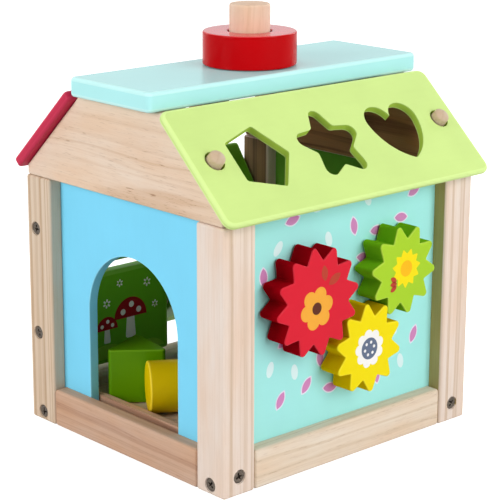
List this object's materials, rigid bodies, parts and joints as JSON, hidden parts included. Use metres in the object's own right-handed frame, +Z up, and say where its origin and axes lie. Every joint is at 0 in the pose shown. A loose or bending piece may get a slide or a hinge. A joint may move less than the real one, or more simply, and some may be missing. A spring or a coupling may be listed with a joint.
{
  "type": "wooden activity house with shape-sorting roof",
  "caption": "Wooden toy house with a shape-sorting roof that lifts off, meshing gears, a doorway, turning tiles, a chimney ring and loose blocks.",
  "frame": {"origin": "on the floor under the middle of the whole toy's box, as it stands with one tile swung out", "axes": "+Z up, +X along the ridge away from the doorway gable, -Y towards the front with the gears"},
  "size_m": [0.203, 0.1952, 0.2443],
  "materials": {
    "beech": "satin",
    "beech_dark": "satin",
    "crimson": "satin",
    "leaf": "satin",
    "lime": "satin",
    "mint": "satin",
    "pale_blue": "satin",
    "red": "satin",
    "sky_blue": "satin",
    "steel": "satin",
    "tile_green": "satin",
    "yellow": "satin"
  },
  "bodies": {
    "house": {"axle_green": "beech_dark", "axle_red": "beech_dark", "axle_yellow": "beech_dark", "chimney_peg": "beech", "floor_board": "beech", "gable_board_left": "beech", "gable_board_right": "beech", "lid_peg_left": "beech_dark", "lid_peg_right": "beech_dark", "panel_doorway": "sky_blue", "panel_gears": "mint", "panel_right": "leaf", "post_back_left": "beech", "post_back_right": "beech", "post_front_left": "beech", "post_front_right": "beech", "rail_back": "beech", "rail_front": "beech", "rail_left": "beech", "rail_right": "beech", "ridge_board": "pale_blue", "rod_lower": "beech", "rod_upper": "beech", "roof_back": "crimson", "screw_end_back_left": "steel", "screw_end_back_right": "steel", "screw_end_front_left": "steel", "screw_end_front_right": "steel", "screw_rod_lower_left": "steel", "screw_rod_lower_right": "steel", "screw_rod_upper_left": "steel", "screw_rod_upper_right": "steel", "screw_side_back_left": "steel", "screw_side_back_right": "steel", "screw_side_front_left": "steel", "screw_side_front_right": "steel"},
    "lid": {"roof_lid": "lime"},
    "ring": {"chimney_ring": "red"},
    "gear_red": {"gear_red": "red"},
    "gear_yellow": {"gear_yellow": "yellow"},
    "gear_green": {"gear_green": "leaf"},
    "tile_lower_left": {"tile_lower_left": "tile_green"},
    "tile_lower_right": {"tile_lower_right": "tile_green"},
    "tile_upper_left": {"tile_upper_left": "tile_green"},
    "tile_upper_right": {"tile_upper_right": "tile_green"},
    "block_triangle": {"block_triangle": "leaf"},
    "block_cylinder": {"block_cylinder": "yellow"},
    "block_pentagon": {"block_pentagon": "red"},
    "block_star": {"block_star": "sky_blue"},
    "block_heart": {"block_heart": "crimson"},
    "block_square": {"block_square": "sky_blue"}
  },
  "joints": [
    {"name": "lid_lift", "type": "slide", "parent": "house", "child": "lid", "axis": [0, -0.682, 0.7314], "range_m": [0, 0.06]},
    {"name": "ring_lift", "type": "slide", "parent": "house", "child": "ring", "axis": [0, 0, 1], "range_m": [0, 0.05]},
    {"name": "gear_red_turn", "type": "hinge", "parent": "house", "child": "gear_red", "pos_m": [-0.0335, -0.081, 0.0974], "axis": [0, -1, 0], "continuous": true},
    {"name": "gear_yellow_turn", "type": "hinge", "parent": "house", "child": "gear_yellow", "pos_m": [0.00599, -0.081, 0.06319], "axis": [0, -1, 0], "continuous": true},
    {"name": "gear_green_turn", "type": "hinge", "parent": "house", "child": "gear_green", "pos_m": [0.03269, -0.081, 0.10248], "axis": [0, -1, 0], "continuous": true},
    {"name": "tile_lower_left_turn", "type": "hinge", "parent": "house", "child": "tile_lower_left", "pos_m": [-0.0365, 0.0735, 0.05325], "axis": [1, 0, 0], "continuous": true},
    {"name": "tile_lower_right_turn", "type": "hinge", "parent": "house", "child": "tile_lower_right", "pos_m": [0.0365, 0.0735, 0.05325], "axis": [1, 0, 0], "continuous": true},
    {"name": "tile_upper_left_turn", "type": "hinge", "parent": "house", "child": "tile_upper_left", "pos_m": [-0.0365, 0.0735, 0.11575], "axis": [1, 0, 0], "continuous": true},
    {"name": "tile_upper_right_turn", "type": "hinge", "parent": "house", "child": "tile_upper_right", "pos_m": [0.0365, 0.0735, 0.11575], "axis": [1, 0, 0], "continuous": true},
    {"name": "block_triangle_lift", "type": "slide", "parent": "house", "child": "block_triangle", "axis": [0, 0, 1], "range_m": [0, 0.06]},
    {"name": "block_cylinder_lift", "type": "slide", "parent": "house", "child": "block_cylinder", "axis": [0, 0, 1], "range_m": [0, 0.06]},
    {"name": "block_pentagon_lift", "type": "slide", "parent": "house", "child": "block_pentagon", "axis": [0, 0, 1], "range_m": [0, 0.06]},
    {"name": "block_star_lift", "type": "slide", "parent": "house", "child": "block_star", "axis": [0, 0, 1], "range_m": [0, 0.06]},
    {"name": "block_heart_lift", "type": "slide", "parent": "house", "child": "block_heart", "axis": [0, 0, 1], "range_m": [0, 0.06]},
    {"name": "block_square_lift", "type": "slide", "parent": "house", "child": "block_square", "axis": [0, 0, 1], "range_m": [0, 0.06]}
  ],
  "couplings": [
    {"joint": "gear_yellow_turn", "follows": "gear_red_turn", "ratio": -1.2},
    {"joint": "gear_green_turn", "follows": "gear_red_turn", "ratio": 1.2}
  ]
}
